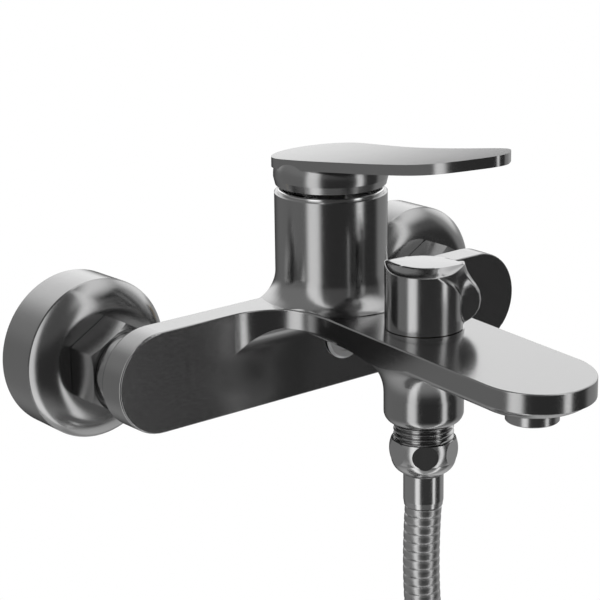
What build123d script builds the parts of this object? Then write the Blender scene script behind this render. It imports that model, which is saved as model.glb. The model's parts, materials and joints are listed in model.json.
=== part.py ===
from build123d import *
import os
from math import cos, sin, tan, pi, radians

os.makedirs("parts", exist_ok=True)

# Wall mounted bath mixer. Millimetres. Z is up, the wall is the plane Y = 0, the spout points to -Y,
# and the origin is midway between the two inlets, on the wall.

# ---------------------------------------------------------------- driving dimensions
inlet_half = 75.0            # half of the 150 mm between the inlet centres
sides = {"left": -inlet_half, "right": inlet_half}
bar_half_length = 91.6
bar_half_height = 17.9
bar_front = 54.0             # distance of the bar's front face from the wall
bar_back = 43.2
edge_round = 0.6             # soft edge on the machined corners

tower_y = -55.2              # axis of the upright housing
tower_radius = 19.95
tower_top = 55.3
tower_flare = 10.0           # concave sweep from the housing to the bar and the spout
flare_slope = 8.0            # the sweep ends this many degrees off level, near the falling spout
flare_foot = 17.0            # height where it ends
deck_inset = 0.8             # the sweep stays this far inside the rounded edge of the spout

spout_half_width = 20.8
spout_root_radius = 22.0     # concave corners between bar and spout
spout_thickness = 6.6
spout_fall = 0.05            # the top falls this much per mm
spout_bend_y = -60.0
spout_underside_fillet = 8.0

outlet_y = -103.6            # common axis of the diverter and the hose outlet
boss_radius = 13.8
boss_bottom = -17.5
pad_top = 16.3

aerator_y = -155.5           # also the centre of the round tip
belly_depth = 6.5
belly_half_width = spout_half_width - 0.8

neck_radius = 14.0
neck_back = 36.2             # the neck ends this far from the wall
tail_back = 30.5
tail_radius = 10.9
tail_bore = 7.8
rail_y = -45.2               # tube behind the bar that carries hot and cold water
rail_radius = 8.6
rail_bore = 5.4
pipe_rise = 8.0              # the wall pipes stand this much above the mixer's axis

g_half_radius = 10.48        # G1/2 thread, 20.955 mm across
g_three_quarter_radius = 13.22
running_gap = 0.05

chamber_floor = 20.0
chamber_radius = 14.1
chamber_step = 45.0
nut_seat_radius = 16.5
pivot_z = 38.0               # the lever tips about this height
lever_half = 3.5             # half width of the square lever

plug_x, plug_z = 6.8, 0.5    # the front plug sits a little off the middle
plug_radius = 8.8

knob_bottom = 16.6
knob_radius = 13.45
knob_rim = 36.7
knob_top = 39.2
fin_angle = -42.0            # direction of the knob's finger tab

hose_radius = 6.5
hose_start = -48.35
ferrule_end = -48.0
coil_radius = 75.0           # to the middle of the turns
coil_turns = 2.75
coil_pitch = 13.3
coil_x, coil_y, coil_z = -51.0, -112.0, -196.0


def spout_top(y):
    """Height of the spout's upper face at y, beyond the bend."""
    return bar_half_height + spout_fall * (y - spout_bend_y)


def save(builder, label):
    """Label a finished piece and write it."""
    builder.part.label = label
    export_step(builder.part, f"parts/{label}.step")


def turned_upright(points, x=0.0, y=0.0):
    """Revolve a closed outline of (radius, height) points about a vertical axis."""
    with BuildPart() as piece:
        with BuildSketch(Plane((x, y, 0), x_dir=(1, 0, 0), z_dir=(0, -1, 0))):
            with BuildLine():
                Polyline(*points, close=True)
            make_face()
        revolve(axis=Axis((x, y, 0), (0, 0, 1)))
    return piece


def turned_inlet(points, x, z=0.0):
    """Revolve a closed outline of (radius, y) points about an axis at right angles to the wall."""
    with BuildPart() as piece:
        with BuildSketch(Plane((x, 0, z), x_dir=(1, 0, 0), z_dir=(0, 0, 1))):
            with BuildLine():
                Polyline(*points, close=True)
            make_face()
        revolve(axis=Axis((x, 0, z), (0, 1, 0)))
    return piece


# ---------------------------------------------------------------- body casting
# plan of the spout: concave roots, straight sides, round tip
root_x = spout_half_width + spout_root_radius
root_y = -bar_front - spout_root_radius
with BuildSketch() as spout_plan:
    with BuildLine():
        Line((-root_x, -bar_front + 4), (-root_x, -bar_front))
        CenterArc((-root_x, root_y), spout_root_radius, 90, -90)
        Line((-spout_half_width, root_y), (-spout_half_width, aerator_y))
        CenterArc((0, aerator_y), spout_half_width, 180, 180)
        Line((spout_half_width, aerator_y), (spout_half_width, root_y))
        CenterArc((root_x, root_y), spout_root_radius, 180, -90)
        Line((root_x, -bar_front), (root_x, -bar_front + 4))
        Line((root_x, -bar_front + 4), (-root_x, -bar_front + 4))
    make_face()

with BuildSketch() as deck_plan:
    add(spout_plan.sketch_local)
    offset(amount=-deck_inset)
    with Locations((0, -(bar_front + bar_back) / 2)):
        Rectangle(2 * (tower_radius + 2 * tower_flare), bar_front - bar_back)
    with Locations((0, tower_y)):
        Circle(tower_radius)

with BuildPart() as bar:
    with BuildSketch(Plane.XZ.offset(bar_back)):
        SlotOverall(2 * bar_half_length, 2 * bar_half_height)
    extrude(amount=bar_front - bar_back)
    fillet(bar.faces().sort_by(Axis.Y)[0].edges(), edge_round)
    fillet(bar.faces().sort_by(Axis.Y)[-1].edges(), 1.0)

with BuildPart() as spout_plate:
    with BuildSketch(Plane.XY.offset(-10)):
        add(spout_plan.sketch_local)
    extrude(amount=40)
    far_y = aerator_y - 2 * spout_half_width
    with BuildSketch(Plane.YZ.offset(-60)):
        with BuildLine():
            Polyline(
                (-40, bar_half_height),
                (spout_bend_y, bar_half_height),
                (far_y, spout_top(far_y)),
                (far_y, spout_top(far_y) - spout_thickness),
                (spout_bend_y, bar_half_height - spout_thickness),
                (-40, bar_half_height - spout_thickness),
                close=True,
            )
        make_face()
    extrude(amount=120, mode=Mode.INTERSECT)
    upper_edges = spout_plate.edges().filter_by(
        lambda edge: edge.center().Z > spout_top(edge.center().Y) - 0.4
        and edge.center().Y < -bar_front - 1
        and abs(edge.center().X) > 1
    )
    fillet(upper_edges, edge_round)

# concave corner between the underside of the spout and the bar
underside = bar_half_height - spout_thickness
with BuildPart() as root_fillet:
    with BuildSketch(Plane.YZ.offset(-root_x)):
        corner_y = -bar_front - spout_underside_fillet
        corner_z = underside - spout_underside_fillet
        with BuildLine():
            CenterArc((corner_y, corner_z), spout_underside_fillet, 0, 90)
            Polyline(
                (corner_y, underside),
                (corner_y, underside + 1),
                (-bar_front + 1, underside + 1),
                (-bar_front + 1, corner_z),
                (-bar_front, corner_z),
            )
        make_face()
    extrude(amount=2 * root_x)
    with BuildSketch(Plane.XY):
        add(spout_plan.sketch_local)
    extrude(amount=20, mode=Mode.INTERSECT)

with BuildPart() as tower:
    flare_centre_x = tower_radius + tower_flare
    flare_centre_z = flare_foot + tower_flare * cos(radians(flare_slope))
    foot_x = flare_centre_x - tower_flare * sin(radians(flare_slope))
    with BuildSketch(Plane((0, tower_y, 0), x_dir=(1, 0, 0), z_dir=(0, -1, 0))):
        with BuildLine():
            Polyline((0, 12), (foot_x, 12), (foot_x, flare_foot))
            CenterArc((flare_centre_x, flare_centre_z), tower_flare, 270 - flare_slope, flare_slope - 90)
            Polyline(
                (tower_radius, flare_centre_z),
                (tower_radius, tower_top - 0.4),
                (tower_radius - 0.4, tower_top),
                (0, tower_top),
                (0, 12),
            )
        make_face()
    revolve(axis=Axis((0, tower_y, 0), (0, 0, 1)))
    with BuildSketch(Plane.XY.offset(12)):
        add(deck_plan.sketch_local)
    extrude(amount=50, mode=Mode.INTERSECT)

with BuildPart() as mixing_chamber:
    chamber_bottom = -15
    with BuildSketch(Plane.XY.offset(chamber_bottom)):
        with Locations((0, tower_y)):
            Circle(tower_radius)
        with Locations((0, -bar_front + 1)):
            Rectangle(80, 60, align=(Align.CENTER, Align.MIN), mode=Mode.INTERSECT)
    extrude(amount=bar_half_height - chamber_bottom)

# shallow rounded belly under the spout, with a domed end below the tip
belly_top = spout_top(aerator_y) - spout_thickness
belly_plane = Plane(origin=(0, aerator_y, belly_top), x_dir=(-1, 0, 0), z_dir=(0, 1, spout_fall))
with BuildPart() as belly:
    with BuildSketch(belly_plane):
        with BuildLine():
            Polyline(
                (-belly_half_width, 0), (-belly_half_width, 2), (belly_half_width, 2),
                (belly_half_width, 0),
            )
            EllipticalCenterArc((0, 0), belly_half_width, belly_depth, 180, arc_size=180)
        make_face()
    extrude(amount=-aerator_y - bar_front + 2)
with BuildPart() as belly_end:
    with BuildSketch(Plane((0, aerator_y, belly_top), x_dir=(1, 0, 0), z_dir=(0, -1, 0))):
        with BuildLine():
            Polyline((0, -belly_depth), (0, 2), (belly_half_width, 2), (belly_half_width, 0))
            EllipticalCenterArc((0, 0), belly_half_width, belly_depth, 270, arc_size=90)
        make_face()
    revolve(axis=Axis((0, aerator_y, 0), (0, 0, 1)))

with BuildPart() as boss:
    boss_sweep = 16.0
    boss_sweep_start = -7.0
    boss_sweep_end = boss_sweep_start + boss_sweep
    with BuildSketch(Plane((0, outlet_y, 0), x_dir=(1, 0, 0), z_dir=(0, -1, 0))):
        with BuildLine():
            Polyline((0, 12), (0, boss_bottom), (boss_radius - 4, boss_bottom))
            CenterArc((boss_radius - 4, boss_bottom + 4), 4, 270, 90)
            Line((boss_radius, boss_bottom + 4), (boss_radius, boss_sweep_start))
            CenterArc((boss_radius + boss_sweep, boss_sweep_start), boss_sweep, 180, -90)
            Polyline(
                (boss_radius + boss_sweep, boss_sweep_end),
                (boss_radius + boss_sweep, 12),
                (0, 12),
            )
        make_face()
    revolve(axis=Axis((0, outlet_y, 0), (0, 0, 1)))
    with BuildSketch(Plane.XY.offset(boss_bottom - 1)):
        add(spout_plan.sketch_local)
    extrude(amount=40, mode=Mode.INTERSECT)

inlet_solids = []
inlet_bores = []
for x in sides.values():
    # neck, then the tail with its groove for the retaining ring
    inlet_solids.append(turned_inlet([
        (0, -bar_back - 2), (neck_radius, -bar_back - 2), (neck_radius, -neck_back),
        (tail_radius, -neck_back), (tail_radius, -33.4), (10.0, -33.4), (10.0, -31.4),
        (tail_radius, -31.4), (tail_radius, -tail_back), (0, -tail_back),
    ], x))
    inlet_bores.append(turned_inlet([
        (0, rail_y), (tail_bore, rail_y), (tail_bore, -tail_back + 1), (0, -tail_back + 1),
    ], x))

cold_hot_gap = 5.0           # the two channels end this far each side of the middle
port_x, port_y, port_radius = 7.0, -49.2, 3.2
channel_radius = 3.6
outlet_port_y = tower_y - 7.3
mixed_z = 10.0               # channel from the chamber to the diverter
spout_channel_z = 7.5        # channel from the diverter to the aerator
diverter_floor = -6.0
diverter_radius = 9.0
aerator_bore = 8.5

with BuildPart() as body_casting:
    for piece in [bar, mixing_chamber, tower, spout_plate, root_fillet, belly, belly_end, boss]:
        add(piece.part)
    with BuildSketch(Plane.YZ.offset(-inlet_half)):
        with Locations((rail_y, 0)):
            Circle(rail_radius)
    extrude(amount=2 * inlet_half)
    with BuildSketch(Plane.XY.offset(spout_channel_z)):
        with Locations((0, outlet_y)):
            Circle(knob_radius + 0.3)
    extrude(amount=pad_top - spout_channel_z)
    for piece in inlet_solids:
        add(piece.part)

    # hot and cold channels
    for piece in inlet_bores:
        add(piece.part, mode=Mode.SUBTRACT)
    for side in (-1, 1):
        channel_start = cold_hot_gap if side > 0 else -inlet_half
        with BuildSketch(Plane.YZ.offset(channel_start)):
            with Locations((rail_y, 0)):
                Circle(rail_bore)
        extrude(amount=inlet_half - cold_hot_gap, mode=Mode.SUBTRACT)
        with BuildSketch(Plane.XY):
            with Locations((side * port_x, port_y)):
                Circle(port_radius)
        extrude(amount=chamber_floor, mode=Mode.SUBTRACT)

    # cartridge chamber
    with BuildSketch(Plane.XY.offset(chamber_floor)):
        with Locations((0, tower_y)):
            Circle(chamber_radius)
    extrude(amount=50, mode=Mode.SUBTRACT)
    with BuildSketch(Plane.XY.offset(chamber_step)):
        with Locations((0, tower_y)):
            Circle(nut_seat_radius)
    extrude(amount=50, mode=Mode.SUBTRACT)

    # mixed water to the diverter, then on to the aerator
    with BuildSketch(Plane.XY.offset(mixed_z)):
        with Locations((0, outlet_port_y)):
            Circle(channel_radius)
    extrude(amount=chamber_floor - mixed_z, mode=Mode.SUBTRACT)
    with BuildSketch(Plane.XZ.offset(-outlet_port_y)):
        with Locations((0, mixed_z)):
            Circle(channel_radius)
    extrude(amount=outlet_port_y - outlet_y, mode=Mode.SUBTRACT)
    with BuildSketch(Plane.XZ.offset(-outlet_y)):
        with Locations((0, spout_channel_z)):
            Circle(channel_radius)
    extrude(amount=outlet_y - aerator_y, mode=Mode.SUBTRACT)

    # diverter seat and hose outlet
    with BuildSketch(Plane.XY.offset(diverter_floor)):
        with Locations((0, outlet_y)):
            Circle(diverter_radius)
    extrude(amount=50, mode=Mode.SUBTRACT)
    with BuildSketch(Plane.XY.offset(boss_bottom)):
        with Locations((0, outlet_y)):
            Circle(6)
    extrude(amount=15, mode=Mode.SUBTRACT)
    with BuildSketch(Plane.XY.offset(boss_bottom)):
        with Locations((0, outlet_y)):
            Circle(g_half_radius)
    extrude(amount=9, mode=Mode.SUBTRACT)

    # aerator seat
    with BuildSketch(Plane.XY.offset(-3)):
        with Locations((0, aerator_y)):
            Circle(aerator_bore)
    extrude(amount=11, mode=Mode.SUBTRACT)
    with BuildSketch(Plane.XY.offset(-3)):
        with Locations((0, aerator_y)):
            Circle(9.05)
    extrude(amount=4.5, mode=Mode.SUBTRACT)

    # seat of the front plug, and a spot face for its head
    with BuildSketch(Plane.XZ.offset(bar_front)):
        with Locations((plug_x, plug_z)):
            Circle(6.9)
    extrude(amount=-2.8, mode=Mode.SUBTRACT)
    with BuildSketch(Plane.XZ.offset(bar_front)):
        with Locations((plug_x, plug_z)):
            Circle(plug_radius + 0.15)
    extrude(amount=2.2, mode=Mode.SUBTRACT)
save(body_casting, "body_casting")

# ---------------------------------------------------------------- the two inlets
escutcheon_radius = 28.6
nut_back, nut_front = 22.6, 36.0
for side, x in sides.items():
    with BuildPart() as union_nut:
        with BuildSketch(Plane((x, -nut_back, 0), x_dir=(1, 0, 0), z_dir=(0, -1, 0))):
            RegularPolygon(radius=17, side_count=6, rotation=90)
        extrude(amount=nut_front - nut_back)
        corner_cut = turned_inlet([
            (0, -nut_back), (16.2, -nut_back), (17.2, -nut_back - 0.6), (17.2, -nut_front + 1.1),
            (15.2, -nut_front), (0, -nut_front),
        ], x)
        add(corner_cut.part, mode=Mode.INTERSECT)
        thread_and_lip = turned_inlet(
            [(0, -19), (13.25, -19), (13.25, -33.4), (11.0, -33.4), (11.0, -37), (0, -37)], x
        )
        add(thread_and_lip.part, mode=Mode.SUBTRACT)
    save(union_nut, f"union_nut_{side}")

    retaining_ring = turned_inlet([(10.0, -33.4), (12.9, -33.4), (12.9, -31.4), (10.0, -31.4)], x)
    save(retaining_ring, f"retaining_ring_{side}")

    # rubber washer with a strainer disc across its hole
    filter_washer = turned_inlet(
        [(0, -29.6), (8, -29.6), (8, -30.5), (12.9, -30.5), (12.9, -28.5), (8, -28.5),
         (8, -29.2), (0, -29.2)], x
    )
    save(filter_washer, f"filter_washer_{side}")

    with BuildPart() as eccentric_union:
        with BuildSketch(Plane((x, -2, 0), x_dir=(1, 0, 0), z_dir=(0, -1, 0))):
            with Locations((0, pipe_rise / 2)):
                SlotCenterToCenter(pipe_rise, 2 * g_three_quarter_radius, rotation=90)
        extrude(amount=9)
        pipe_end = turned_inlet([(0, -3), (g_half_radius, -3), (g_half_radius, 14),
                                 (g_half_radius - 1, 15), (0, 15)], x, pipe_rise)
        add(pipe_end.part)
        mixer_end = turned_inlet([(0, -10), (g_three_quarter_radius, -10),
                                  (g_three_quarter_radius, -27.8),
                                  (g_three_quarter_radius - 0.7, -28.5), (0, -28.5)], x)
        add(mixer_end.part)
        pipe_bore = turned_inlet([(0, 20), (7, 20), (7, -7), (0, -7)], x, pipe_rise)
        add(pipe_bore.part, mode=Mode.SUBTRACT)
        mixer_bore = turned_inlet([(0, -5), (9, -5), (9, -30), (0, -30)], x)
        add(mixer_bore.part, mode=Mode.SUBTRACT)
    save(eccentric_union, f"eccentric_union_{side}")

    # spun cover: skirt, domed front, and a threaded seat sunk inside it
    with BuildPart() as escutcheon:
        with BuildSketch(Plane((x, 0, 0), x_dir=(1, 0, 0), z_dir=(0, 0, 1))):
            with BuildLine():
                Polyline((26.9, 0), (28.4, 0), (escutcheon_radius, -16.3), (28.2, -16.7))
                ThreePointArc((28.2, -16.7), (23.4, -21.0), (17.2, -22.4))
                Polyline((17.2, -22.4), (13.25, -22.4), (13.25, -17.4), (15.0, -17.4), (17.2, -20.2))
                ThreePointArc((17.2, -20.2), (22.6, -18.9), (26.9, -15.4))
                Line((26.9, -15.4), (26.9, 0))
            make_face()
        revolve(axis=Axis((x, 0, 0), (0, 1, 0)))
    save(escutcheon, f"escutcheon_{side}")

# ---------------------------------------------------------------- cartridge
disc_ports = [(side * port_x, port_y) for side in (-1, 1)] + [(0, outlet_port_y)]
seal_thickness = 1.2
base_top = 24.5
with BuildPart() as base_seals:
    with BuildSketch(Plane.XY.offset(chamber_floor)):
        with Locations(*disc_ports):
            Circle(4.5)
            Circle(port_radius, mode=Mode.SUBTRACT)
    extrude(amount=seal_thickness)
save(base_seals, "base_seals")

with BuildPart() as cartridge_base:
    with BuildSketch(Plane.XY.offset(chamber_floor)):
        with Locations((0, tower_y)):
            Circle(13.9)
        with Locations(*disc_ports):
            Circle(4.5, mode=Mode.SUBTRACT)
    extrude(amount=seal_thickness)
    with BuildSketch(Plane.XY.offset(chamber_floor + seal_thickness)):
        with Locations((0, tower_y)):
            Circle(13.9)
        with Locations(*disc_ports):
            Circle(port_radius, mode=Mode.SUBTRACT)
    extrude(amount=base_top - chamber_floor - seal_thickness)
save(cartridge_base, "cartridge_base")

disc_top = 27.5
with BuildPart() as ceramic_disc_fixed:
    with BuildSketch(Plane.XY.offset(base_top)):
        with Locations((0, tower_y)):
            Circle(12.8)
        with Locations(*disc_ports):
            Circle(port_radius - 0.6, mode=Mode.SUBTRACT)
    extrude(amount=disc_top - base_top)
save(ceramic_disc_fixed, "ceramic_disc_fixed")

moving_bottom = disc_top + running_gap
moving_top = moving_bottom + 4
with BuildPart() as ceramic_disc_moving:
    with BuildSketch(Plane.XY.offset(moving_bottom)):
        with Locations((0, tower_y)):
            Circle(8.6)
            Rectangle(15, 20, mode=Mode.INTERSECT)
    extrude(amount=moving_top - moving_bottom)
    with BuildSketch(Plane.XY.offset(moving_bottom)):
        with Locations((0, tower_y)):
            Ellipse(5.5, 6.5)
    extrude(amount=1.2, mode=Mode.SUBTRACT)
    with BuildSketch(Plane.XY.offset(moving_top - 2.2)):
        with Locations((0, tower_y)):
            Circle(2.5)
    extrude(amount=2.2, mode=Mode.SUBTRACT)
save(ceramic_disc_moving, "ceramic_disc_moving")

cartridge_housing = turned_upright([
    (12.95, base_top), (13.9, base_top), (13.9, chamber_step), (15.9, chamber_step),
    (15.9, 47.0), (13.9, 47.0), (13.9, 49.8), (11.5, 49.8), (11.5, 47.8), (12.95, 47.8),
], y=tower_y)
save(cartridge_housing, "cartridge_housing")

carrier_radius = 12.85
carrier_bottom = moving_top + 0.35
with BuildPart() as stem_carrier:
    with BuildSketch(Plane.XY.offset(carrier_bottom)):
        with Locations((0, tower_y)):
            Circle(carrier_radius)
    extrude(amount=47.5 - carrier_bottom)
    with BuildSketch(Plane.XY.offset(47.5)):
        with Locations((0, tower_y)):
            Circle(11.4)
    extrude(amount=3.5)
    # two legs that lead the moving disc
    with BuildSketch(Plane.XY.offset(28)):
        with Locations((0, tower_y)):
            Circle(carrier_radius)
            Rectangle(15.6, 30, mode=Mode.SUBTRACT)
    extrude(amount=carrier_bottom - 28)
    # slot that lets the lever tip
    with BuildSketch(Plane.XY.offset(28)):
        with Locations((0, tower_y + 1.7)):
            Rectangle(2 * lever_half + 0.6, 17.4)
    extrude(amount=30, mode=Mode.SUBTRACT)
    with BuildSketch(Plane.YZ.offset(-20)):
        with Locations((tower_y, pivot_z)):
            Circle(1.5)
    extrude(amount=40, mode=Mode.SUBTRACT)
save(stem_carrier, "stem_carrier")

with BuildPart() as pivot_pin:
    with BuildSketch(Plane.YZ.offset(-11)):
        with Locations((tower_y, pivot_z)):
            Circle(1.5)
    extrude(amount=22)
save(pivot_pin, "pivot_pin")

lever_top = 66.0
ball_z = 32.0
with BuildPart() as lever_stem:
    with BuildSketch(Plane.XY.offset(34.2)):
        with Locations((0, tower_y)):
            Rectangle(2 * lever_half, 2 * lever_half)
    extrude(amount=lever_top - 34.2)
    with BuildSketch(Plane.XY.offset(ball_z)):
        with Locations((0, tower_y)):
            Circle(1.6)
    extrude(amount=3)
    with Locations((0, tower_y, ball_z)):
        Sphere(2.2)
    with BuildSketch(Plane.YZ.offset(-20)):
        with Locations((tower_y, pivot_z)):
            Circle(1.5 + running_gap)
    extrude(amount=40, mode=Mode.SUBTRACT)
save(lever_stem, "lever_stem")

cartridge_nut = turned_upright([
    (14.0, 47.0), (16.45, 47.0), (16.45, 54.5), (12.4, 54.5), (12.4, 52.0), (14.0, 52.0),
], y=tower_y)
save(cartridge_nut, "cartridge_nut")

trim_ring = turned_upright([
    (12.6, 54.5), (16.4, 54.5), (16.4, tower_top), (18.7, tower_top), (18.7, 56.0),
    (18.4, 56.3), (12.6, 56.3),
], y=tower_y)
save(trim_ring, "trim_ring")

# ---------------------------------------------------------------- handle
handle_hub_radius = 20.2
handle_rear_y = -34.9
handle_tip_y = -140.0
handle_thickness = 3.6
handle_skirt_radius = 17.6
handle_ceiling = 64.5
socket_bottom = 61.5
screw_z = 63.2


def handle_top(y):
    """Height of the handle's upper face, which curves up towards the tip."""
    reach = tower_y - y
    return 69 + 0.1 * reach + 0.0006 * max(reach, 0) ** 2


# the hub below the plate, cut off inside the plate's thickness
with BuildPart() as handle_hub:
    with BuildSketch(Plane((0, tower_y, 0), x_dir=(1, 0, 0), z_dir=(0, -1, 0))):
        with BuildLine():
            Polyline((0, 58), (19.6, 58), (handle_hub_radius, 60.5))
            ThreePointArc((handle_hub_radius, 60.5), (19.7, 64.8), (18.0, 68.4))
            Polyline((18.0, 68.4), (18.0, 90), (0, 90), (0, 58))
        make_face()
    revolve(axis=Axis((0, tower_y, 0), (0, 0, 1)))
    hub_line = [(y, handle_top(y) - handle_thickness / 2) for y in (-28.0, tower_y, -82.0)]
    with BuildSketch(Plane.YZ.offset(-30)):
        with BuildLine():
            ThreePointArc(*hub_line)
            Polyline(hub_line[-1], (-82.0, 50), (-28.0, 50), hub_line[0])
        make_face()
    extrude(amount=60, mode=Mode.INTERSECT)

with BuildPart() as handle:
    profile_y = [-28.0, -92.0, handle_tip_y - 4]
    top_line = [(y, handle_top(y)) for y in profile_y]
    bottom_line = [(y, handle_top(y) - handle_thickness) for y in reversed(profile_y)]
    with BuildSketch(Plane.YZ.offset(-30)):
        with BuildLine():
            ThreePointArc(*top_line)
            Line(top_line[-1], bottom_line[0])
            ThreePointArc(*bottom_line)
            Line(bottom_line[-1], top_line[0])
        make_face()
    extrude(amount=60)
    # plan: round over the hub, waisted, then widening to a blunt pointed tip
    widest_y = -50.0
    hub_meet = (18.9, widest_y)
    plan_right = [hub_meet, (17.3, -78.0), (18.1, -110.0), (15.7, -127.3), (6.7, -136.7),
                  (0, handle_tip_y)]
    plan_left = [(-x, y) for x, y in plan_right]
    with BuildSketch(Plane.XY.offset(50)):
        with BuildLine():
            Spline(*plan_right, tangents=[(0, -1), (-1, 0)])
            Spline(*plan_left, tangents=[(0, -1), (1, 0)])
            EllipticalCenterArc((0, widest_y), hub_meet[0], handle_rear_y - widest_y, 0, arc_size=180)
        make_face()
    extrude(amount=50, mode=Mode.INTERSECT)
    add(handle_hub.part)
    skirt = turned_upright([
        (0, 50), (handle_skirt_radius, 50), (handle_skirt_radius, handle_ceiling),
        (6.5, handle_ceiling), (6.5, socket_bottom), (0, socket_bottom),
    ], y=tower_y)
    add(skirt.part, mode=Mode.SUBTRACT)
    with BuildSketch(Plane.XY.offset(50)):
        with Locations((0, tower_y)):
            Rectangle(2 * lever_half, 2 * lever_half)
    extrude(amount=lever_top - 50, mode=Mode.SUBTRACT)
    with BuildSketch(Plane.XZ.offset(-tower_y - lever_half)):
        with Locations((0, screw_z)):
            Circle(1.5)
    extrude(amount=-6, mode=Mode.SUBTRACT)
    with BuildSketch(Plane.XZ.offset(-tower_y - 16)):
        with Locations((0, screw_z)):
            Circle(2)
    extrude(amount=-8, mode=Mode.SUBTRACT)
save(handle, "handle")

with BuildPart() as handle_set_screw:
    with BuildSketch(Plane.XZ.offset(-tower_y - lever_half)):
        with Locations((0, screw_z)):
            Circle(1.5)
    extrude(amount=-3)
    with BuildSketch(Plane.XZ.offset(-tower_y - lever_half - 1.5)):
        with Locations((0, screw_z)):
            RegularPolygon(radius=0.85, side_count=6)
    extrude(amount=-1.5, mode=Mode.SUBTRACT)
save(handle_set_screw, "handle_set_screw")

with BuildPart() as index_plug:
    with BuildSketch(Plane.XZ.offset(-tower_y - 17.8)):
        with Locations((0, screw_z)):
            Circle(2)
    extrude(amount=-2.2)
save(index_plug, "index_plug")

# ---------------------------------------------------------------- diverter
drum_top = 13.8
drum_z = 8.75
drum_radius = diverter_radius - running_gap
spindle_radius = 3.0
with BuildPart() as diverter_drum:
    with BuildSketch(Plane.XY.offset(diverter_floor + 0.1)):
        with Locations((0, outlet_y)):
            Circle(drum_radius)
            Circle(7.5, mode=Mode.SUBTRACT)
    extrude(amount=3)
    with BuildSketch(Plane.XY.offset(diverter_floor + 3)):
        with Locations((0, outlet_y)):
            Circle(drum_radius)
    extrude(amount=drum_top - diverter_floor - 3)
    # straight way to the spout
    with BuildSketch(Plane.XZ.offset(-outlet_y - 12)):
        with Locations((0, drum_z)):
            Circle(3.4)
    extrude(amount=24, mode=Mode.SUBTRACT)
    # side way down to the hose
    with BuildSketch(Plane.YZ.offset(-12)):
        with Locations((outlet_y, drum_z)):
            Circle(2.2)
    extrude(amount=6, mode=Mode.SUBTRACT)
    with BuildSketch(Plane.XY.offset(diverter_floor)):
        with Locations((-5.9, outlet_y)):
            Circle(2.0)
    extrude(amount=drum_z - diverter_floor, mode=Mode.SUBTRACT)
save(diverter_drum, "diverter_drum")

spindle_top = 32.0
with BuildPart() as diverter_spindle:
    with BuildSketch(Plane.XY.offset(drum_top)):
        with Locations((0, outlet_y)):
            Circle(spindle_radius)
    extrude(amount=spindle_top - drum_top)
save(diverter_spindle, "diverter_spindle")

gland_hole = spindle_radius + running_gap
diverter_gland = turned_upright([
    (gland_hole, drum_top + 0.1), (diverter_radius, drum_top + 0.1), (diverter_radius, pad_top),
    (10.6, pad_top), (10.6, 19.0), (5.0, 19.0), (5.0, 17.4), (gland_hole, 17.4),
], y=outlet_y)
save(diverter_gland, "diverter_gland")

gland_seal = turned_upright([
    (gland_hole, 17.4), (5.0, 17.4), (5.0, 18.9), (gland_hole, 18.9),
], y=outlet_y)
save(gland_seal, "gland_seal")

knob_screw_z = 29.8
with BuildPart() as diverter_knob:
    with BuildSketch(Plane.XY.offset(knob_bottom)):
        with Locations((0, outlet_y)):
            Circle(knob_radius)
    extrude(amount=knob_rim - knob_bottom)
    # lens shaped crown
    lens_half_length, lens_half_width = 13.2, 8.6
    with BuildSketch(Plane((0, outlet_y, knob_rim), x_dir=(cos(radians(-50)), sin(radians(-50)), 0))):
        with BuildLine():
            ThreePointArc((-lens_half_length, 0), (0, lens_half_width), (lens_half_length, 0))
            ThreePointArc((lens_half_length, 0), (0, -lens_half_width), (-lens_half_length, 0))
        make_face()
    extrude(amount=knob_top - knob_rim)
    # finger tab
    fin_direction = (cos(radians(fin_angle)), sin(radians(fin_angle)), 0)
    fin_plane = Plane(
        (0, outlet_y, 0), x_dir=fin_direction,
        z_dir=(sin(radians(fin_angle)), -cos(radians(fin_angle)), 0),
    )
    with BuildSketch(fin_plane):
        with BuildLine():
            fin_edge = Spline((12.5, 38.2), (14.6, 35.5), (17.7, 31), (19.2, 26), (17.4, 21.1),
                              (12.5, 17.8))
            Line((12.5, 17.8), (12.5, 38.2))
        make_face()
    extrude(amount=3.3, both=True)
    with BuildSketch(Plane.XY.offset(knob_bottom)):
        with Locations((0, outlet_y)):
            Circle(11.4)
    extrude(amount=10.4, mode=Mode.SUBTRACT)
    with BuildSketch(Plane.XY.offset(knob_bottom)):
        with Locations((0, outlet_y)):
            Circle(spindle_radius)
    extrude(amount=spindle_top - knob_bottom, mode=Mode.SUBTRACT)
    with BuildSketch(Plane((0, outlet_y, knob_screw_z), x_dir=(0, 0, 1),
                           z_dir=(-fin_direction[0], -fin_direction[1], 0))):
        Circle(2)
    extrude(amount=20, mode=Mode.SUBTRACT)
save(diverter_knob, "diverter_knob")

with BuildPart() as knob_set_screw:
    screw_plane = Plane((0, outlet_y, knob_screw_z), x_dir=(0, 0, 1),
                        z_dir=(-fin_direction[0], -fin_direction[1], 0))
    with BuildSketch(screw_plane.offset(spindle_radius)):
        Circle(2)
    extrude(amount=5)
    with BuildSketch(screw_plane.offset(spindle_radius + 2.5)):
        RegularPolygon(radius=1.1, side_count=6)
    extrude(amount=2.5, mode=Mode.SUBTRACT)
save(knob_set_screw, "knob_set_screw")

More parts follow.
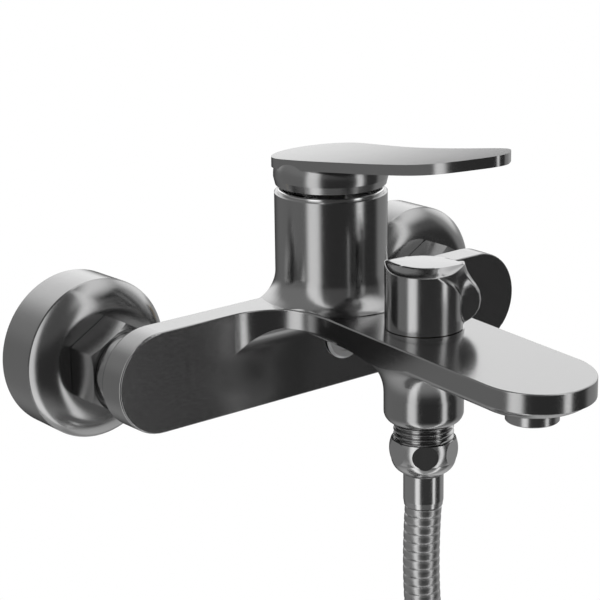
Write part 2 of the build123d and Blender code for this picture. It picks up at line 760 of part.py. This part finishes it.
# ---------------------------------------------------------------- front plug of the body
plug_face = bar_front + 1.6
with BuildPart() as front_plug:
    with BuildSketch(Plane.XZ.offset(bar_front - 2.6)):
        with Locations((plug_x, plug_z)):
            Circle(6.85)
    extrude(amount=3.5)
    with BuildSketch(Plane.XZ.offset(bar_front + 0.4)):
        with Locations((plug_x, plug_z)):
            Circle(plug_radius)
    extrude(amount=plug_face - bar_front - 0.4)
    chamfer(front_plug.faces().sort_by(Axis.Y)[0].edges(), 0.8)
    with BuildSketch(Plane.XZ.offset(plug_face - 0.9)):
        with Locations((plug_x, plug_z)):
            Circle(6)
    extrude(amount=1, mode=Mode.SUBTRACT)
    with BuildSketch(Plane.XZ.offset(plug_face - 2.6)):
        with Locations((plug_x, plug_z)):
            RegularPolygon(radius=3.4, side_count=6)
    extrude(amount=3, mode=Mode.SUBTRACT)
save(front_plug, "front_plug")

with BuildPart() as front_plug_seal:
    with BuildSketch(Plane.XZ.offset(bar_front)):
        with Locations((plug_x, plug_z)):
            Circle(plug_radius - 0.6)
            Circle(6.9, mode=Mode.SUBTRACT)
    extrude(amount=0.4)
save(front_plug_seal, "front_plug_seal")

# ---------------------------------------------------------------- aerator
aerator_shell = turned_upright([
    (6.2, -3.2), (8.6, -3.2), (8.9, -2.9), (8.9, 1.5), (8.45, 1.5), (8.45, 6.8), (6.9, 6.8),
    (6.9, -2.4), (6.2, -2.4),
], y=aerator_y)
save(aerator_shell, "aerator_shell")

with BuildPart() as aerator_insert:
    with BuildSketch(Plane.XY.offset(-2.4)):
        with Locations((0, aerator_y)):
            Circle(6.85)
    extrude(amount=8.2)
    with BuildSketch(Plane.XY.offset(-2.4)):
        with Locations((0, aerator_y)):
            with GridLocations(2.0, 2.0, 5, 5):
                Rectangle(1.3, 1.3)
    extrude(amount=8.2, mode=Mode.SUBTRACT)
save(aerator_insert, "aerator_insert")

aerator_washer = turned_upright([(6.0, 6.8), (8.4, 6.8), (8.4, 8.0), (6.0, 8.0)], y=aerator_y)
save(aerator_washer, "aerator_washer")

# ---------------------------------------------------------------- hose connection
nipple_top = boss_bottom + 9
nipple_bottom = -31.0
thread_pitch_radius = 9.98   # G1/2 where the two threads engage
outlet_nipple = turned_upright([
    (6.5, nipple_bottom), (thread_pitch_radius, nipple_bottom), (thread_pitch_radius, -24.4),
    (g_half_radius, -23.6), (g_half_radius, nipple_top), (6.5, nipple_top),
], y=outlet_y)
save(outlet_nipple, "outlet_nipple")

hose_washer = turned_upright([(6.2, -32.0), (9.9, -32.0), (9.9, -31.0), (6.2, -31.0)], y=outlet_y)
save(hose_washer, "hose_washer")

nut_flat_angle = 20.8
with BuildPart() as hose_nut:
    with BuildSketch(Plane((0, outlet_y, 0), x_dir=(1, 0, 0), z_dir=(0, -1, 0))):
        with BuildLine():
            Polyline((0, -35.7), (0, -23.5), (11.2, -23.5))
            ThreePointArc((11.2, -23.5), (11.9, -27.0), (11.2, -31.0))
            ThreePointArc((11.2, -31.0), (9.7, -34.2), (7.4, -35.7))
            Line((7.4, -35.7), (0, -35.7))
        make_face()
    revolve(axis=Axis((0, outlet_y, 0), (0, 0, 1)))
    with BuildSketch(Plane.XY.offset(-40)):
        with Locations((0, outlet_y)):
            RegularPolygon(radius=11.0 / cos(pi / 6), side_count=6, rotation=nut_flat_angle)
    extrude(amount=20, mode=Mode.INTERSECT)
    nut_bore = turned_upright([
        (0, -37), (5.95, -37), (5.95, -33), (thread_pitch_radius + 0.02, -33),
        (thread_pitch_radius + 0.02, -24.4), (10.7, -23.5), (10.7, -20), (0, -20),
    ], y=outlet_y)
    add(nut_bore.part, mode=Mode.SUBTRACT)
save(hose_nut, "hose_nut")

hose_insert = turned_upright([
    (4.0, -46.0), (5.2, -46.0), (5.2, -36.6), (5.9, -36.0), (5.9, -33.0), (9.8, -33.0),
    (9.8, -32.0), (4.0, -32.0),
], y=outlet_y)
save(hose_insert, "hose_insert")

hose_ferrule = turned_upright([
    (5.2, -46.0), (5.2, -37.0), (6.3, -35.8), (7.0, -36.4), (7.0, -46.0), (6.7, ferrule_end),
    (0, ferrule_end), (0, -46.0),
], y=outlet_y)
save(hose_ferrule, "hose_ferrule")

# ---------------------------------------------------------------- shower hose
# the route down from the ferrule to the side of the put-away coil
route = [
    (0.0, outlet_y, hose_start),
    (-1.4, -102.4, -80.0),
    (6.0, -104.5, -122.0),
    (20.0, -110.0, -160.0),
    (coil_x + coil_radius, coil_y, coil_z),
]
route_vectors = [Vector(*point) for point in route]
bend_radii = []
for before, at, after in zip(route_vectors, route_vectors[1:], route_vectors[2:]):
    run_in, run_out = at - before, after - at
    turn = radians(run_in.get_angle(run_out))
    bend_radii.append(0.45 * min(run_in.length, run_out.length) / tan(turn / 2))
print("hose bend radii", [round(radius) for radius in bend_radii])

with BuildPart() as shower_hose:
    with BuildLine() as hose_line:
        FilletPolyline(*route, radius=bend_radii)
    with BuildSketch(Plane(route[0], z_dir=route_vectors[1] - route_vectors[0])):
        Circle(hose_radius)
    sweep(path=hose_line.line)
save(shower_hose, "shower_hose")
tube_length = hose_line.wires()[0].length
print("hose tube", tube_length, shower_hose.part.volume, tube_length * pi * hose_radius**2)

coil_width = coil_turns * coil_pitch + 2 * hose_radius
with BuildPart() as hose_coil:
    with BuildSketch(Plane((coil_x, coil_y - hose_radius, coil_z), x_dir=(1, 0, 0), z_dir=(0, 1, 0))):
        Circle(coil_radius + hose_radius)
        Circle(coil_radius - hose_radius, mode=Mode.SUBTRACT)
    extrude(amount=coil_width)
save(hose_coil, "hose_coil")

# the last of the hose leaves the top of the coil
tail_y = coil_y + coil_turns * coil_pitch
tail_z = coil_z + coil_radius
tail_start = coil_x + 34
tail_end = coil_x + 46
with BuildPart() as hose_tail:
    with BuildSketch(Plane((tail_start, tail_y, tail_z), x_dir=(0, 1, 0), z_dir=(1, 0, 0))):
        Circle(hose_radius)
    extrude(amount=tail_end - tail_start)
save(hose_tail, "hose_tail")

hose_length = tube_length + 2 * pi * coil_radius * coil_turns + tail_end - coil_x
print("hose length", hose_length)


def turned_tail(points):
    """Revolve (radius, distance along X from the hose's end) points about the tail's axis."""
    with BuildPart() as piece:
        with BuildSketch(Plane((tail_end, tail_y, tail_z), x_dir=(0, 0, 1), z_dir=(0, 1, 0))):
            with BuildLine():
                Polyline(*points, close=True)
            make_face()
        revolve(axis=Axis((tail_end, tail_y, tail_z), (1, 0, 0)))
    return piece


hose_end_ferrule = turned_tail([(0, 0), (6.7, 0), (7.0, 2), (7.0, 12), (5.2, 12), (5.2, 2), (0, 2)])
save(hose_end_ferrule, "hose_end_ferrule")
hose_end_insert = turned_tail([
    (4.0, 2), (5.2, 2), (5.2, 12.4), (6.0, 13), (6.0, 29.5), (9.6, 29.5), (9.6, 30.5), (4.0, 30.5),
])
save(hose_end_insert, "hose_end_insert")
hose_end_nut = turned_tail([
    (6.1, 12.8), (8.0, 12.8), (12.4, 30), (12.4, 43), (12.0, 43.5), (g_half_radius, 43.5),
    (g_half_radius, 32.5), (10.2, 32.5), (10.2, 29.2), (6.1, 29.2),
])
save(hose_end_nut, "hose_end_nut")
hose_end_washer = turned_tail([(5.5, 30.5), (9.6, 30.5), (9.6, 32.5), (5.5, 32.5)])
save(hose_end_washer, "hose_end_washer")

# strap round the bundle of turns
with BuildPart() as hose_tie:
    strap_centre_y = coil_y + coil_pitch * 1.5
    strap_y = coil_pitch * 2 + 2 * hose_radius + 0.6
    with BuildSketch(Plane.XY.offset(coil_z - 6)):
        with Locations((coil_x - coil_radius, strap_centre_y)):
            RectangleRounded(2 * hose_radius + 4.4, strap_y + 4, 4)
            RectangleRounded(2 * hose_radius + 0.4, strap_y, 2, mode=Mode.SUBTRACT)
    extrude(amount=12)
save(hose_tie, "hose_tie")
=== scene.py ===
import bpy
import json
from math import atan2, cos, exp, pi, radians, sin, sqrt
from mathutils import Matrix, Vector


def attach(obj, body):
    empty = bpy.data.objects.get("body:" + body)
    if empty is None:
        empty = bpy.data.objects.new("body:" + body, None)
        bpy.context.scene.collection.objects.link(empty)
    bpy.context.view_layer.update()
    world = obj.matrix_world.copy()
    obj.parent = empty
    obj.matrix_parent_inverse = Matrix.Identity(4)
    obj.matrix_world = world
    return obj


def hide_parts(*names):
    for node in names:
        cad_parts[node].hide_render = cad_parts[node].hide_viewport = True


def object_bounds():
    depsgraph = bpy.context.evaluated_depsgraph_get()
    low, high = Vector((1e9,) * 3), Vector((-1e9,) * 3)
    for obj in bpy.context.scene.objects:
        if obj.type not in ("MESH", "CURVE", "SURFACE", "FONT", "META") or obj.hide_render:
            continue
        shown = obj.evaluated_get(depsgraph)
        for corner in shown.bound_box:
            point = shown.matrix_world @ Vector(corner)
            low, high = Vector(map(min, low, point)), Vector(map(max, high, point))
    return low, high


# Wall mounted bath mixer in brushed dark grey metal. Blender works in metres, and the sizes below are in
# millimetres, brought to metres by MM. +Z is up, the wall is Y = 0, the spout points to -Y and the origin
# is midway between the two inlets.

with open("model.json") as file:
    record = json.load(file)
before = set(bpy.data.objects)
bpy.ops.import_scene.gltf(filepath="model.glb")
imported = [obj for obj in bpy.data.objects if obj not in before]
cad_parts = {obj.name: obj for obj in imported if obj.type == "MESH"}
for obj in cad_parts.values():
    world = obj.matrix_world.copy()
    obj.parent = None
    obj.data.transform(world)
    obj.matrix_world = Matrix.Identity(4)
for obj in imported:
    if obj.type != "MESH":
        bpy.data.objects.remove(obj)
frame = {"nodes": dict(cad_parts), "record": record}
cad_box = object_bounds()
MM = 0.001

# ---------------------------------------------------------------- camera
camera_place = Vector((-0.476614, -0.622056, 0.235631))
yaw, pitch, roll = radians(39.18), radians(16.59), radians(-0.768)
lens_length = 130.3
forward = Vector((sin(yaw) * cos(pitch), cos(yaw) * cos(pitch), -sin(pitch)))
level_right = Vector((cos(yaw), -sin(yaw), 0))
level_up = level_right.cross(forward)
right = level_right * cos(roll) + level_up * sin(roll)
up = level_up * cos(roll) - level_right * sin(roll)

camera_data = bpy.data.cameras.new("camera")
camera_data.sensor_width = 36
camera_data.lens = lens_length
camera_data.clip_end = 50
camera = bpy.data.objects.new("camera", camera_data)
bpy.context.scene.collection.objects.link(camera)
camera.matrix_world = Matrix.Translation(camera_place) @ Matrix((
    (right.x, up.x, -forward.x, 0),
    (right.y, up.y, -forward.y, 0),
    (right.z, up.z, -forward.z, 0),
    (0, 0, 0, 1),
))
bpy.context.scene.camera = camera
bpy.context.scene.view_settings.view_transform = "Standard"


# ---------------------------------------------------------------- node helpers
class Nodes:
    """A node tree with short calls for the nodes used here."""

    def __init__(self, tree):
        self.tree = tree
        tree.nodes.clear()

    def add(self, kind, **settings):
        node = self.tree.nodes.new(kind)
        for key, value in settings.items():
            setattr(node, key, value)
        return node

    def link(self, source, target):
        self.tree.links.new(source, target)

    def feed(self, socket, value):
        if isinstance(value, bpy.types.NodeSocket):
            self.link(value, socket)
        else:
            socket.default_value = value

    def math(self, operation, first, second=0.0):
        node = self.add("ShaderNodeMath", operation=operation)
        self.feed(node.inputs[0], first)
        self.feed(node.inputs[1], second)
        return node.outputs[0]

    def ramp(self, value, low, high, bottom=0.0, top=1.0):
        """Smooth step from bottom, where value is low, to top, where it is high."""
        node = self.add("ShaderNodeMapRange", interpolation_type="SMOOTHSTEP")
        self.feed(node.inputs["Value"], value)
        self.feed(node.inputs["From Min"], low)
        self.feed(node.inputs["From Max"], high)
        self.feed(node.inputs["To Min"], bottom)
        self.feed(node.inputs["To Max"], top)
        return node.outputs["Result"]


# ---------------------------------------------------------------- studio light
def studio_world():
    """Soft studio surroundings, set by direction alone: a dim level all round, softboxes overhead and behind,
    upright strip lights at the left, front and right, and a soft glow from below."""
    world = bpy.data.worlds.new("studio")
    bpy.context.scene.world = world
    world.use_nodes = True
    n = Nodes(world.node_tree)
    direction = n.add("ShaderNodeTexCoord").outputs["Generated"]
    split = n.add("ShaderNodeSeparateXYZ")
    n.link(direction, split.inputs[0])
    x, y, z = split.outputs
    flat = n.math("SQRT", n.math("ADD", n.math("MULTIPLY", x, x), n.math("MULTIPLY", y, y)))

    def towards(azimuth):
        """How far the direction points to an azimuth, which is in degrees from +X towards +Y."""
        along_x = n.math("MULTIPLY", x, cos(radians(azimuth)))
        along_y = n.math("MULTIPLY", y, sin(radians(azimuth)))
        return n.math("ADD", along_x, along_y)

    def facing(azimuth):
        """Cosine of the level angle between the direction and an azimuth."""
        return n.math("DIVIDE", towards(azimuth), n.math("MAXIMUM", flat, 0.001))

    def strip(azimuth, half_width, soft, strength):
        """Upright light from floor to ceiling, with soft edges; widths are in degrees."""
        edge, core = cos(radians(half_width + soft)), cos(radians(half_width))
        return n.ramp(facing(azimuth), edge, core, 0.0, strength)

    dim, back_left_share, upper_share = 0.075, 0.3, 0.12
    level = n.math("ADD", dim, n.ramp(facing(135), 0.35, 0.95, 0.0, back_left_share))
    level = n.math("ADD", level, n.ramp(z, 0.0, 0.3, 0.0, upper_share))

    overhead_strength, behind_strength, below_strength = 1.7, 1.75, 0.5
    overhead = n.ramp(z, 0.42, 0.85, 0.0, overhead_strength)
    overhead = n.math("MULTIPLY", overhead, n.ramp(towards(-15), 0.08, 0.45))
    behind = n.ramp(facing(48), 0.35, 0.85, 0.0, behind_strength)
    behind = n.math("MULTIPLY", behind, n.ramp(z, -0.10, 0.14))
    behind = n.math("MULTIPLY", behind, n.ramp(z, 0.45, 0.85, 1.0, 0.0))
    below = n.ramp(z, -0.95, -0.45, below_strength, 0.0)

    lights = n.math("MAXIMUM", overhead, behind)
    left_strip = strip(194, 6, 12, 1.8)
    front_strip = strip(-70, 3, 7, 1.9)
    right_strip = strip(10, 25, 16, 0.45)
    for light in (left_strip, front_strip, right_strip):
        lights = n.math("MAXIMUM", lights, light)
    total = n.math("ADD", n.math("ADD", lights, below), level)
    background = n.add("ShaderNodeBackground")
    n.link(total, background.inputs["Strength"])
    output = n.add("ShaderNodeOutputWorld")
    n.link(background.outputs[0], output.inputs[0])


studio_world()


def pale_floor():
    """Plain white floor below the hose. It glows, so no shadow shows on it, and metal doesn't mirror it."""
    half_side, gap_below_hose = 9, 0.05
    height = cad_box[0][2] - gap_below_hose
    corners = ((-1, -1), (1, -1), (1, 1), (-1, 1))
    mesh = bpy.data.meshes.new("floor")
    mesh.from_pydata([(x * half_side, y * half_side, height) for x, y in corners], [], [(0, 1, 2, 3)])
    material = bpy.data.materials.new("pale_floor")
    material.use_nodes = True
    n = Nodes(material.node_tree)
    glow = n.add("ShaderNodeEmission")
    glow.inputs["Color"].default_value = (1, 1, 1, 1)
    glow.inputs["Strength"].default_value = 1.0
    output = n.add("ShaderNodeOutputMaterial")
    n.link(glow.outputs[0], output.inputs[0])
    mesh.materials.append(material)
    floor = bpy.data.objects.new("floor", mesh)
    bpy.context.scene.collection.objects.link(floor)
    floor.visible_glossy = False


pale_floor()


# ---------------------------------------------------------------- materials
def metal(name, colour, roughness, grain, grain_depth=0.006):
    """Metal with a fine grain, as dense on each axis as grain says, and slight unevenness of its gloss."""
    mottling = 0.02
    material = bpy.data.materials.new(name)
    material.use_nodes = True
    n = Nodes(material.node_tree)
    place = n.add("ShaderNodeTexCoord").outputs["Object"]
    stretch = n.add("ShaderNodeMapping")
    stretch.inputs["Scale"].default_value = grain
    n.link(place, stretch.inputs["Vector"])
    scratches = n.add("ShaderNodeTexNoise")
    scratches.inputs["Scale"].default_value = 3.0
    scratches.inputs["Detail"].default_value = 3.0
    n.link(stretch.outputs[0], scratches.inputs["Vector"])
    patches = n.add("ShaderNodeTexNoise")
    patches.inputs["Scale"].default_value = 60.0
    n.link(place, patches.inputs["Vector"])
    shader = n.add("ShaderNodeBsdfPrincipled")
    shader.inputs["Base Color"].default_value = (*colour, 1)
    shader.inputs["Metallic"].default_value = 1.0
    uneven = n.ramp(scratches.outputs["Fac"], 0.3, 0.7, roughness - mottling, roughness + mottling)
    uneven = n.math("ADD", uneven, n.math("MULTIPLY", patches.outputs["Fac"], mottling * 0.5))
    n.link(uneven, shader.inputs["Roughness"])
    bump = n.add("ShaderNodeBump")
    bump.inputs["Strength"].default_value = grain_depth
    bump.inputs["Distance"].default_value = 0.0002
    n.link(scratches.outputs["Fac"], bump.inputs["Height"])
    n.link(bump.outputs[0], shader.inputs["Normal"])
    output = n.add("ShaderNodeOutputMaterial")
    n.link(shader.outputs[0], output.inputs[0])
    return material


def solid(name, colour, roughness, texture_scale, depth=0.15, variation=0.15):
    """Plastic, rubber or ceramic with a fine surface texture and slight colour variation."""
    material = bpy.data.materials.new(name)
    material.use_nodes = True
    n = Nodes(material.node_tree)
    place = n.add("ShaderNodeTexCoord").outputs["Object"]
    texture = n.add("ShaderNodeTexNoise")
    texture.inputs["Scale"].default_value = texture_scale
    texture.inputs["Detail"].default_value = 4.0
    n.link(place, texture.inputs["Vector"])
    colours = n.add("ShaderNodeMix", data_type="RGBA")
    n.link(texture.outputs["Fac"], colours.inputs["Factor"])
    colours.inputs[6].default_value = (*[c * (1 - variation) for c in colour], 1)
    colours.inputs[7].default_value = (*[min(1, c * (1 + variation)) for c in colour], 1)
    shader = n.add("ShaderNodeBsdfPrincipled")
    n.link(colours.outputs[2], shader.inputs["Base Color"])
    shader.inputs["Roughness"].default_value = roughness
    bump = n.add("ShaderNodeBump")
    bump.inputs["Strength"].default_value = depth
    bump.inputs["Distance"].default_value = 0.0003
    n.link(texture.outputs["Fac"], bump.inputs["Height"])
    n.link(bump.outputs[0], shader.inputs["Normal"])
    output = n.add("ShaderNodeOutputMaterial")
    n.link(shader.outputs[0], output.inputs[0])
    return material


def grey(value):
    return (value, value, value)


def many_finishes(make, table):
    """Materials by name, each made from its own row of values."""
    return {name: make(name, *values) for name, values in table.items()}


gunmetal = grey(0.34)
brass = (0.72, 0.53, 0.24)
drawn_y, drawn_z, even = (700, 60, 700), (900, 900, 40), (400, 400, 400)
# colour, roughness, grain, and the grain's depth where it isn't the usual one; the numbers of a grain are
# small along the axis that its lines follow
finishes = many_finishes(metal, {
    "body_metal": (gunmetal, 0.18, (150, 500, 500), 0.003),
    "handle_metal": (gunmetal, 0.19, drawn_y),
    "knob_metal": (grey(0.37), 0.18, (700, 700, 60)),
    "nut_metal": (grey(0.36), 0.18, drawn_y),
    "cover_metal": (gunmetal, 0.19, drawn_y),
    "plain_brass": (brass, 0.28, (900, 60, 900), 0.08),
    "trim_metal": (grey(0.62), 0.16, (300, 300, 900)),
    "hose_fitting_metal": (grey(0.46), 0.20, drawn_z),
    "hose_metal": (grey(0.46), 0.32, even, 0.01),
    "steel": (grey(0.55), 0.30, (700, 700, 60)),
    "plug_metal": (grey(0.60), 0.34, even),
    "aerator_metal": (grey(0.40), 0.22, drawn_z),
})
# colour, roughness, then the texture's scale, depth and colour variation
finishes |= many_finishes(solid, {
    "tie_plastic": (grey(0.03), 0.75, 1500),
    "seal_rubber": (grey(0.02), 0.8, 900),
    "cartridge_plastic": ((0.72, 0.72, 0.68), 0.5, 700, 0.1, 0.05),
    "disc_ceramic": ((0.85, 0.83, 0.79), 0.25, 300, 0.03, 0.04),
    "aerator_plastic": (grey(0.03), 0.55, 800),
    "index_plastic": ((0.04, 0.04, 0.045), 0.3, 600, 0.05),
})
for subpart in frame["record"]["subparts"]:
    node_object = frame["nodes"][subpart["node"]]
    for slot in node_object.material_slots:
        slot.material = finishes[subpart["material_slot"]]


# ---------------------------------------------------------------- mesh helpers
def new_piece(name, points, faces, slot, body, smooth_angle):
    """A mesh object that rides on a body and takes its finish from a slot; edges sharper than smooth_angle,
    in degrees, stay crisp."""
    mesh = bpy.data.meshes.new(name)
    mesh.from_pydata(points, [], faces)
    mesh.update()
    mesh.materials.append(finishes[slot])
    mesh.polygons.foreach_set("use_smooth", [True] * len(mesh.polygons))
    mesh.set_sharp_from_angle(angle=radians(smooth_angle))
    piece = bpy.data.objects.new(name, mesh)
    bpy.context.scene.collection.objects.link(piece)
    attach(piece, body)
    return piece


def ring_faces(rings, count, closed=False):
    """Quads between rings of count points each; closed joins the last ring to the first."""
    faces = []
    for i in range(rings if closed else rings - 1):
        below, above = i * count, ((i + 1) % rings) * count
        for j in range(count):
            k = (j + 1) % count
            faces.append((below + j, below + k, above + k, above + j))
    return faces


def cap_face(ring, count, flip):
    """One face that closes a ring; flip turns it to face the other way."""
    face = tuple(range(ring * count, (ring + 1) * count))
    return face[::-1] if flip else face


# ---------------------------------------------------------------- shower hose
outlet_x, outlet_y, ferrule_end_z = 0.0, -103.6, -48.35
coil_x, coil_y, coil_z, coil_radius = -51.0, -112.0, -196.0, 75.0
coil_pitch, coil_turns = 13.3, 2.75
hose_start = (outlet_x, outlet_y, ferrule_end_z)
# the hose hangs from its ferrule and swings into the coil's first turn
route = [
    hose_start,
    (-1.4, -102.4, -80.0),
    (6.0, -104.5, -122.0),
    (20.0, -110.0, -160.0),
]
points_per_turn = 16
# a quadratic spline runs inside its control points, so these stand a little further out
control_radius = coil_radius / cos(pi / points_per_turn) ** 1.5
for step in range(int(coil_turns * points_per_turn) + 1):
    turned = step / points_per_turn
    route.append((
        coil_x + control_radius * cos(2 * pi * turned),
        coil_y + coil_pitch * turned,
        coil_z - control_radius * sin(2 * pi * turned),
    ))
# the last turn's end gives way to a straight tail, which runs into the far fitting
route.pop()
tail_y, tail_z = coil_y + coil_pitch * coil_turns, coil_z + coil_radius
for past_middle, lift in ((4, 0.6), (24, 0), (45.9, 0)):
    route.append((coil_x + past_middle, tail_y, tail_z + lift))


def smooth_line(places):
    """Points along the smooth spline whose control points are the route's places."""
    line_data = bpy.data.curves.new("hose_line", "CURVE")
    line_data.dimensions = "3D"
    line_data.resolution_u = 24
    spline = line_data.splines.new("NURBS")
    spline.points.add(len(places) - 1)
    for point, place in zip(spline.points, places):
        point.co = (*[value * MM for value in place], 1)
    spline.order_u = 3
    spline.use_endpoint_u = True
    line_object = bpy.data.objects.new("hose_line", line_data)
    line_mesh = bpy.data.meshes.new_from_object(line_object)
    line = [vertex.co.copy() for vertex in line_mesh.vertices]
    bpy.data.objects.remove(line_object)
    return line


def along(path, spacing):
    """Points at an even spacing along a path, with the path's direction at each."""
    placed, directions = [path[0].copy()], [(path[1] - path[0]).normalized()]
    due = spacing
    for start, end in zip(path, path[1:]):
        run = end - start
        length = run.length
        while due <= length:
            placed.append(start + run * (due / length))
            directions.append(run.normalized())
            due += spacing
        due -= length
    return placed, directions


def ribbed_hose():
    """Interlocked metal strip hose: a rounded rib every pitch, with a tight groove between ribs."""
    rib_pitch, crest, groove = 3.22 * MM, 6.45 * MM, 6.05 * MM
    profile = [0.0, 0.90, 1.0, 1.0, 1.0, 0.90]  # rise from groove to crest along one rib
    rings_per_rib, count = len(profile), 28
    centres, directions = along(hose_path, rib_pitch / rings_per_rib)
    side = directions[0].cross(Vector((0, 1, 0))).normalized()
    points = []
    for i, (centre, direction) in enumerate(zip(centres, directions)):
        side = (side - direction * side.dot(direction)).normalized()
        other = direction.cross(side)
        radius = groove + (crest - groove) * profile[i % rings_per_rib]
        for j in range(count):
            angle = 2 * pi * j / count
            points.append(centre + (side * cos(angle) + other * sin(angle)) * radius)
    faces = ring_faces(len(centres), count)
    faces += [cap_face(0, count, True), cap_face(len(centres) - 1, count, False)]
    return new_piece("ribbed_hose", points, faces, "hose_metal", "mixer_body", smooth_angle=60)


hose_path = smooth_line(route)
hose = ribbed_hose()
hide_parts("shower_hose", "hose_coil", "hose_tail")


# ---------------------------------------------------------------- threaded outlet
def thread(name, base, start, end, crest, root, bore, pitch, slot, body):
    """An outside thread with a bore, which runs down from a base point, from start to end in millimetres."""
    axis, side = Vector((0, 0, -1)), Vector((1, 0, 0))
    other = axis.cross(side)
    count, steps_per_turn, run_out = 72, 8, 0.8
    flat_share, flank_slope = 1.35, 3.4
    rings = int((end - start) / (pitch / steps_per_turn)) + 1
    points = []

    def place(distance, angle, radius):
        spot = Vector(base) + axis * distance + (side * cos(angle) + other * sin(angle)) * radius
        return spot * MM

    for i in range(rings):
        distance = start + (end - start) * i / (rings - 1)
        fade = max(0, min(1.0, (distance - start) / run_out, (end - distance) / run_out))
        for j in range(count):
            phase = (distance / pitch - j / count) % 1.0
            ridge = min(1.0, max(0.0, flat_share - abs(phase - 0.5) * flank_slope))
            points.append(place(distance, 2 * pi * j / count, root + (crest - root) * ridge * fade))
    for distance in (end, start):
        for j in range(count):
            points.append(place(distance, 2 * pi * j / count, bore))
    return new_piece(name, points, ring_faces(rings + 2, count, closed=True), slot, body, smooth_angle=50)


nipple_thread = thread(
    "outlet_nipple_thread", base=(outlet_x, outlet_y, 0), start=8.5, end=31.0, crest=10.45, root=9.55,
    bore=6.5, pitch=1.814, slot="body_metal", body="mixer_body",
)
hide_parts("outlet_nipple")


# ---------------------------------------------------------------- diverter knob
def between(table, at):
    """Value at a height in a table of (height, value) pairs, on straight runs."""
    for (z0, v0), (z1, v1) in zip(table, table[1:]):
        if at <= z1:
            return v0 + (v1 - v0) * max(0.0, (at - z0) / (z1 - z0))
    return table[-1][1]


def turned_from(angle, other):
    """Size of the angle between two directions."""
    return abs(atan2(sin(angle - other), cos(angle - other)))


def knob():
    """Round knob with a lens shaped crown, a finger tab and a scooped hollow on each side of the tab."""
    radius, bottom, rim, crown = 13.45, 16.6, 36.7, 39.1
    crown_rise, rim_drop, ledge = 0.15, 0.3, 0.25
    tab_angle, lens_angle = radians(-42), radians(-50)
    lens_half_length, lens_half_width = 13.1, 8.3
    # by height: the tab's reach from the axis, and how many degrees from the tab its hollows end
    tab_reach = [(16.6, 13.0), (18.2, 13.8), (19.6, 16.0), (21.1, 17.5), (23.2, 18.7), (26.0, 19.2),
                 (28.9, 18.7), (31.0, 17.6), (33.0, 16.1), (35.5, 14.6), (38.0, 13.8), (39.2, 13.5)]
    scoop_edge = [(16.6, 12), (21.0, 13.5), (24.5, 14), (28.1, 20), (29.9, 28), (32.4, 41), (35.3, 60),
                  (36.7, 72), (39.2, 80)]
    tab_half, tab_widens_z, tab_widening, tab_rounding = 2.3, 31, 0.25, 0.35
    scoop_depth, scoop_start_z, scoop_run, scoop_outer_share = 0.9, 19, 4, 0.25
    crown_hollow, crown_hollow_run, crown_rise_power = 0.9, 3, 1.8

    def rim_height(angle):
        """The wall stands higher at the two ends of the lens."""
        near = exp(-(turned_from(angle, tab_angle) / radians(30)) ** 2)
        far = exp(-(turned_from(angle, lens_angle + pi) / radians(28)) ** 2)
        return rim + (crown - rim - rim_drop) * max(near, far)

    def side_radius(angle, z):
        """The wall is round, but for the tab that sweeps out of it and the shallow hollows beside the tab."""
        offset = turned_from(angle, tab_angle)
        edge = radians(between(scoop_edge, z))
        reach = between(tab_reach, z)
        crest = (tab_half + tab_widening * max(0.0, z - tab_widens_z)) / reach
        if offset >= edge:
            return radius
        share = max(0.0, (offset - crest) / (edge - crest))
        rounded = tab_rounding * min(1.0, offset / crest) ** 3
        depth = scoop_depth * min(1.0, max(0.0, (z - scoop_start_z) / scoop_run))
        depth *= min(1.0, (1 - share) / scoop_outer_share)
        sweep = 1.6 + 2.2 * min(1.0, edge / radians(50))
        return radius - depth + (reach - rounded - radius + depth) * (1 - share) ** sweep

    def lens_radius(angle):
        """Distance from the middle to the outline of the lens, which is two parabolas."""
        along, across = cos(angle - lens_angle), abs(sin(angle - lens_angle))
        bend = lens_half_width * (along / lens_half_length) ** 2
        if bend < 1e-6:
            return lens_half_width / across
        return (sqrt(across ** 2 + 4 * bend * lens_half_width) - across) / (2 * bend)

    def wall_and_lens(angle):
        """Radius of the wall's top and of the lens, which stays a ledge inside it."""
        wall = side_radius(angle, rim_height(angle))
        return wall, min(lens_radius(angle), wall - ledge)

    # the angles lie close together around the tab and further apart elsewhere
    fine, coarse, fine_reach = radians(0.35), radians(2), radians(36)
    angles = []
    turned = -fine_reach
    while turned < 2 * pi - fine_reach:
        angles.append(tab_angle + turned)
        turned += fine if turned < fine_reach else coarse
    wall_rings, hollow_rings, lens_rings = 56, 14, 8
    points = []
    for i in range(wall_rings):
        for angle in angles:
            z = bottom + (rim_height(angle) - bottom) * i / (wall_rings - 1)
            points.append((angle, side_radius(angle, z), z))
    for i in range(1, hollow_rings + 1):
        share = i / hollow_rings
        for angle in angles:
            wall, lens = wall_and_lens(angle)
            wall_z = rim_height(angle)
            hollow = crown_hollow * min(1.0, (wall - lens) / crown_hollow_run)
            rise = (crown - crown_rise - wall_z) * share ** crown_rise_power
            z = wall_z + rise - hollow * 4 * share * (1 - share) ** 2
            points.append((angle, wall + (lens - wall) * share, z))
    for i in range(1, lens_rings + 1):
        share = 1 - i / (lens_rings + 1)
        for angle in angles:
            wall, lens = wall_and_lens(angle)
            points.append((angle, lens * share, crown - crown_rise * share ** 2))
    places = [Vector((outlet_x + r * cos(a), outlet_y + r * sin(a), z)) * MM for a, r, z in points]
    rings = wall_rings + hollow_rings + lens_rings
    faces = ring_faces(rings, len(angles))
    faces.append(cap_face(rings - 1, len(angles), False))
    faces.append(cap_face(0, len(angles), True))
    return new_piece("diverter_knob_shell", places, faces, "knob_metal", "diverter", smooth_angle=40)


knob_shell = knob()
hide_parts("diverter_knob")
